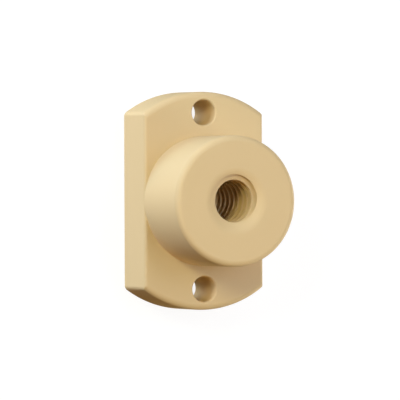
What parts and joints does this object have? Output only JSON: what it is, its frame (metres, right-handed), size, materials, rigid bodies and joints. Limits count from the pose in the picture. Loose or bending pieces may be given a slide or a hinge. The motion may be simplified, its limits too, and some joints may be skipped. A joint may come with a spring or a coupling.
{
  "type": "lead screw nut",
  "caption": "Flanged lead screw nut: a round boss on a flange with two flats, two plain fixing holes and a trapezoidal thread through the middle.",
  "frame": {"origin": "centre of the flange's back face, on the screw's axis", "axes": "+Z along the screw's axis, out of the front of the boss; +Y through one of the two fixing holes, along the flange's long way; +X out of one flat"},
  "size_m": [0.025, 0.042, 0.025],
  "materials": {
    "bearing_polymer": "matt moulded tan bearing polymer"
  },
  "bodies": {
    "root": {"nut_body": "bearing_polymer"}
  },
  "joints": []
}
